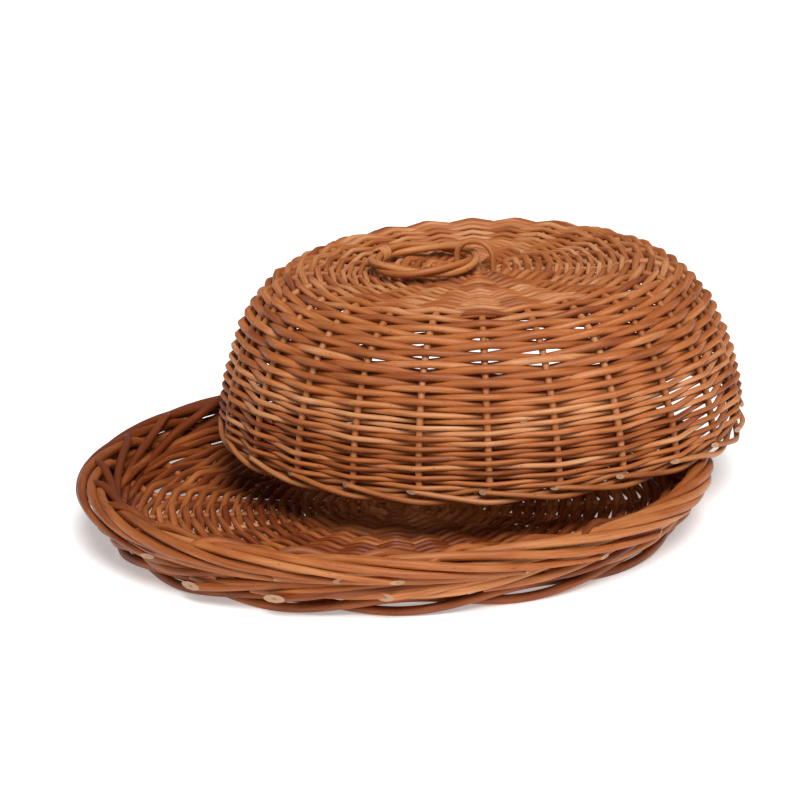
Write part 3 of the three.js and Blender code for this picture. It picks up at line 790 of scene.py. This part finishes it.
for letter, phase in (("a", 0.0), ("b", math.pi)):
    phase -= footRods["turns"] * footRods["firstGap"]
    angle = np.linspace(0, 2 * math.pi, footRods["points"], endpoint=False)
    twist = footRods["turns"] * angle + phase
    r = footRods["circle"] + footRods["swing"] * np.sin(twist)
    least, more = footRods["rise"]
    rise = least + more * nearAngle(angle, *footRods["front"])
    z = footRods["radius"] + rise * (1 - np.cos(twist))
    bundle = newBundle(footRods["toneShift"])
    outward = around(angle, 1.0, 0.0)
    line = around(angle, r, z)
    addRod(bundle, line, footRods["radius"], outward, anyTone(), rodShape["thickSides"], closed=True)
    makePiece("foot_rod_" + letter, bundle, trayPlace, "tray", "willow_border", "tray_foot_rod_" + letter)
print("tray sides and foot laid in")


# Lid: its stakes' line runs out over the crown and down the wall, a little outside the solid's line,
# so that the weavers' outer faces lie where the solid's outside is

lidWeave = {
    "bottom": 9.5,
    # height over the border's underside, then how far outside the solid's line
    "swell": ((10, 2.0), (20, 1.8), (60, 1.2), (90, 1.2), (102, 1.0)),
    "dish": (80.0, 94.0, 3.0),  # inside the first radius the crown lies lower by the last
    # height again, then how far the rods are pressed into the stakes, and how full the rows are
    "squeeze": ((60, 0.6), (84, 0.9), (97, 1.8), (102, 2.1)),
    "fill": ((40, 1.1), (62, 1.14), (74, 1.32), (88, 1.32), (101, 1.0)),
    "firstRow": 1.0,  # mm from the crown's centre
    "crownPitch": (3.4, 4.0),
    "wallPitch": (4.65, 2.75),
    "rodLength": (800, 1500),
    "endsOutside": 0.12,
    "tuck": 1.2,
    "crownShade": -0.1,  # painted shade: the crown is darker by this much of the tone
    "flatPoints": 30,
    "wallPoints": 160,
}
shoulder = lidShape["stakeCircle"] - lidShape["flatRadius"]


def lidMeridian():
    centre, edge = lidShape["centreRadius"], lidShape["flatRadius"]
    flat = np.linspace(centre, edge, lidWeave["flatPoints"], endpoint=False)
    turn = np.linspace(0, math.acos(lidWeave["bottom"] / lidShape["crownLine"]), lidWeave["wallPoints"])
    r = np.concatenate([flat, edge + shoulder * np.sin(turn)])
    z = np.concatenate([np.full(len(flat), lidShape["crownLine"]), lidShape["crownLine"] * np.cos(turn)])
    facing = np.column_stack([lidShape["crownLine"] * np.sin(turn), shoulder * np.cos(turn)])
    facing = unit(np.vstack([np.tile([0.0, 1.0], (len(flat), 1)), facing]))
    courses = (np.transpose(lidWeave[key]) for key in ("swell", "squeeze", "fill"))
    swell, squeeze, fill = (np.interp(z, *course) for course in courses)
    inside, outside, depth = lidWeave["dish"]
    swell = swell - np.interp(r, [inside, outside], [depth, 0])
    return makeMeridian(r + swell * facing[:, 0], z + swell * facing[:, 1], facing, squeeze, fill)


meridian = lidMeridian()
crownEnd = lidShape["flatRadius"] - lidShape["centreRadius"]
wallEnd = np.interp(-lidShape["wallBottom"], -meridian["z"], meridian["s"])
firstPitch, lastPitch = lidWeave["wallPitch"]
crownRows = rowsBetween(lidWeave["firstRow"], crownEnd - firstPitch, *lidWeave["crownPitch"])
wallRows = rowsBetween(crownEnd, wallEnd, firstPitch, lastPitch)
crownBundle, wallBundle = newBundle(lidWeave["crownShade"]), newBundle()
weave(lambda row: crownBundle if row < len(crownRows) else wallBundle, {
    **lidWeave,
    "meridian": meridian,
    "rows": np.concatenate([crownRows, wallRows, [wallEnd + lastPitch]]),
    "stakes": lidShape["stakes"],
    "stakeRadius": lidShape["stakeRadius"],
})
makePiece("crown_weavers", crownBundle, lidPlace, "lid", "willow_weavers", "lid_crown_weave")
makePiece("wall_weavers", wallBundle, lidPlace, "lid", "willow_weavers", "lid_wall_weave")

crownCentre = {
    "height": meridian["z"][0], "stick": 2.0, "squeeze": 1.7, "bound": 9.5, "opened": 18.0,
    "edge": 50.5, "pitch": 3.6, "reach": 49.5, "toneShift": -0.08,
}
crownCentreBundle = newBundle(crownCentre["toneShift"])
centreRods(crownCentreBundle, crownCentre)
makePiece(
    "crown_centre_weavers", crownCentreBundle, lidPlace, "lid", "willow_weavers", "lid_crown_centre"
)
crownSlath = newBundle()
slathSticks(crownSlath, crownCentre)
makePiece("crown_slath_sticks", crownSlath, lidPlace, "lid", "willow_stakes", "lid_crown_cross")
print("lid woven:", len(crownRows), "and", len(wallRows) + 1, "rows")


# Lid rods: each runs down the lid and turns along its lower edge, behind one stake and out past the next

lidRods = {
    "tipRadius": 1.7,
    "taperFrom": 1.5,  # stakes passed
    "tipSlant": (50, 66),  # degrees
    "toneSpread": 0.08,
    "sunk": 1.4,  # under the rows of the crown
    "surfaces": (8, 14),  # starts before the crown's edge, and takes this long, mm
    "wallRadius": 2.3,
    "points": 36,  # over the crown and down the wall
    "spacing": 3.5,  # point to point along the whole rod
    "uneven": 0.25,
    "hang": (-15, 16, 5.0),  # the border hangs lower round this angle, over this width, by this much
    # stakes passed, then places outwards and upwards in stake diameters
    "border": (
        (0.15, 0.3, 2.45), (0.5, -0.25, 1.8), (1, -0.55, 1.25), (1.5, 0.05, 0.75),
        (2, 0.75, 0.5), (2.5, 1.2, 1.3), (3.1, 1.25, 2.2),
    ),
}
lidStake = 2 * math.pi / lidShape["stakes"]
stakeWide = 2 * lidShape["stakeRadius"]
tipPassed = lidRods["border"][-1][0]

for index in range(lidShape["stakes"]):
    start = index * lidStake
    places = np.linspace(0, meridian["s"][-1], lidRods["points"])
    r, z = (np.interp(places, meridian["s"], meridian[key]) for key in ("r", "z"))
    before, takes = lidRods["surfaces"]
    onWall = np.clip((places - crownEnd + before) / takes, 0, 1)
    z = z - lidRods["sunk"] * (1 - onWall)
    thick = lidShape["stakeRadius"] + (lidRods["wallRadius"] - lidShape["stakeRadius"]) * onWall
    corners = list(np.column_stack([around(start, r, z), thick]))
    for passed, out, up in lidRods["border"]:
        height = up * stakeWide
        turn = math.acos(height / lidShape["crownLine"])
        r = lidShape["flatRadius"] + shoulder * math.sin(turn) + out * stakeWide
        angle = start - passed * lidStake
        middle, width, drop = lidRods["hang"]
        drop = drop * nearAngle(angle, middle, width) * min(passed, 1)
        spot = around(angle, r, height - drop + dice.normal(0, lidRods["uneven"]))
        ends = (lidShape["stakeRadius"], lidRods["tipRadius"])
        corners.append((*spot, np.interp(passed, [lidRods["taperFrom"], tipPassed], ends)))
    line = smoothLine(corners, lidRods["spacing"])
    outward = around(start - tipPassed * lidStake, 1.0, 0.1)  # and a little up
    bundle = newBundle()
    cuts = ((0, upwards), (dice.uniform(*lidRods["tipSlant"]), outward))
    addRod(bundle, line[:, :3], line[:, 3], upwards, anyTone(lidRods["toneSpread"]), cuts=cuts)
    number = f"{index + 1:02d}"
    makePiece("lid_rod_" + number, bundle, lidPlace, "lid", "willow_stakes", "lid_stake_" + number)
print("lid rods laid in")


# Handle: a ring of two twisted strands, whipped at its far end, held by a staple of flat split willow

ring = {
    "circle": 31.5, "middle": (-33.6, -0.5, -0.8), "strand": 2.35, "apart": 2.1, "turns": 2,
    "firstTurn": 0.4,  # radians
    "points": 160,
    "toneSpread": 0.12,
    "coils": 4.5, "coilRadius": 1.15, "coilFlat": 0.7, "coilSpan": 0.34, "coilsAt": math.radians(147),
    "coilSunk": 0.2, "coilTone": 0.7, "coilPoints": 96,
}
staple = {
    "reach": 12.0, "rise": 10.2, "halfWidth": 2.4, "flat": 0.8, "middle": -0.8, "below": 96.0,
    "turned": math.radians(-20),
    "archPoints": 13,
    "spacing": 1.5,
    "sides": 12,
    "toneSpread": 0.12,
}

ringBundle = newBundle()
ringMiddle = np.array(ring["middle"]) + (0, 0, lidShape["ringHeight"])
for phase in (ring["firstTurn"], ring["firstTurn"] + math.pi):
    t = np.linspace(0, 2 * math.pi, ring["points"], endpoint=False)
    twist = ring["turns"] * t + phase
    line = around(t, ring["circle"] + ring["apart"] * np.cos(twist), ring["apart"] * np.sin(twist))
    line = line + ringMiddle
    outward = around(t, 1.0, 0.0)
    tone = anyTone(ring["toneSpread"])
    addRod(ringBundle, line, ring["strand"], outward, tone, rodShape["thickSides"], closed=True)
t = np.linspace(-0.5, 0.5, ring["coilPoints"])
turn = 2 * math.pi * ring["coils"] * t
whip = ring["apart"] + ring["strand"] - ring["coilSunk"]
coilsAt = ring["coilsAt"] + ring["coilSpan"] * t
line = around(coilsAt, ring["circle"] + whip * np.cos(turn), whip * np.sin(turn))
line = line + ringMiddle
outward = around(coilsAt, np.cos(turn), np.sin(turn))
addRod(ringBundle, line, ring["coilRadius"], outward, ring["coilTone"], flat=ring["coilFlat"])
makePiece("handle_ring_strands", ringBundle, lidPlace, "ring", "willow_handle", "handle_ring")

stapleBundle = newBundle()
turned = np.array(Matrix.Rotation(staple["turned"], 3, "Z"))
spots = [(-staple["reach"], 0, staple["below"])]
for a in np.linspace(math.pi, 0, staple["archPoints"]):
    height = lidShape["ringHeight"] + staple["rise"] * math.sin(a)
    spots.append((staple["reach"] * math.cos(a), 0, height))
spots.append((staple["reach"], 0, staple["below"]))
line = smoothLine(np.array(spots) @ turned.T + (staple["middle"], 0, 0), staple["spacing"])
away = turned @ (-1, 0, 0)
tone = anyTone(staple["toneSpread"])
addRod(stapleBundle, line, staple["halfWidth"], away, tone, staple["sides"], flat=staple["flat"])
makePiece("handle_staple_strip", stapleBundle, lidPlace, "lid", "willow_handle", "handle_staple")
print("handle fixed on")


# Camera: the photograph's view

camera = {
    "distance": 2500.0,
    "elevation": math.radians(18.63),
    "roll": math.radians(-1.82),
    "lens": 178.0,
    "sensor": 36.0,
    "frame": 800,  # pixels each way
    "trayMiddleAt": (395.0, 520.9),
}
back = Vector((0, -math.cos(camera["elevation"]), math.sin(camera["elevation"])))
focal = camera["lens"] / camera["sensor"] * camera["frame"]
right, down = (place - camera["frame"] / 2 for place in camera["trayMiddleAt"])
aim = back.to_track_quat("Z", "Y").to_matrix() @ Matrix.Rotation(camera["roll"], 3, "Z")
aim = aim @ Matrix.Rotation(math.atan(down / focal), 3, "X")
aim = aim @ Matrix.Rotation(math.atan(right / focal), 3, "Y")
lensData = bpy.data.cameras.new("photo_view")
lensData.lens = camera["lens"]
lensData.sensor_width = camera["sensor"]
photoView = bpy.data.objects.new("photo_view", lensData)
photoView.matrix_world = aim.to_4x4()
photoView.location = Vector((trayMiddle.x, trayMiddle.y, 0)) + back * camera["distance"] * mm
bpy.context.scene.collection.objects.link(photoView)
bpy.context.scene.camera = photoView


# Studio: a pale floor under soft light, the key above and in front, a little to the right

studio = {
    "floorSide": 40.0,
    "floorColour": "#FBFBFA",
    "floorRoughness": 0.9,
    "floorGlow": 0.36,  # the floor is lit from below, so that it stays white under the tray
    "skyColour": "#FFFFFF",
    "skyStrength": 0.25,
    "keyFrom": (0.18, -1.0, 1.2),
    "keyStrength": 3.4,
    "keySpread": math.radians(30),
}
half = studio["floorSide"] / 2
floorMesh = bpy.data.meshes.new("studio_floor")
corners = [(-half, -half, 0), (half, -half, 0), (half, half, 0), (-half, half, 0)]
floorMesh.from_pydata(corners, [], [(0, 1, 2, 3)])
matte = bpy.data.materials.new("matte_backdrop")
matte.use_nodes = True
backdrop = matte.node_tree.nodes["Principled BSDF"].inputs
backdrop["Base Color"].default_value = linear(studio["floorColour"])
backdrop["Roughness"].default_value = studio["floorRoughness"]
backdrop["Emission Color"].default_value = linear(studio["floorColour"])
backdrop["Emission Strength"].default_value = studio["floorGlow"]
floorMesh.materials.append(matte)
studioFloor = bpy.data.objects.new("studio_floor", floorMesh)
bpy.context.scene.collection.objects.link(studioFloor)

sky = bpy.data.worlds.new("studio_sky")
sky.use_nodes = True
sky.node_tree.nodes["Background"].inputs["Color"].default_value = linear(studio["skyColour"])
sky.node_tree.nodes["Background"].inputs["Strength"].default_value = studio["skyStrength"]
bpy.context.scene.world = sky
keyData = bpy.data.lights.new("key", "SUN")
keyData.energy = studio["keyStrength"]
keyData.angle = studio["keySpread"]
keyLight = bpy.data.objects.new("key", keyData)
keyLight.rotation_euler = Vector(studio["keyFrom"]).to_track_quat("Z", "Y").to_euler()
bpy.context.scene.collection.objects.link(keyLight)
bpy.context.scene.view_settings.view_transform = "Standard"
print("studio lit")
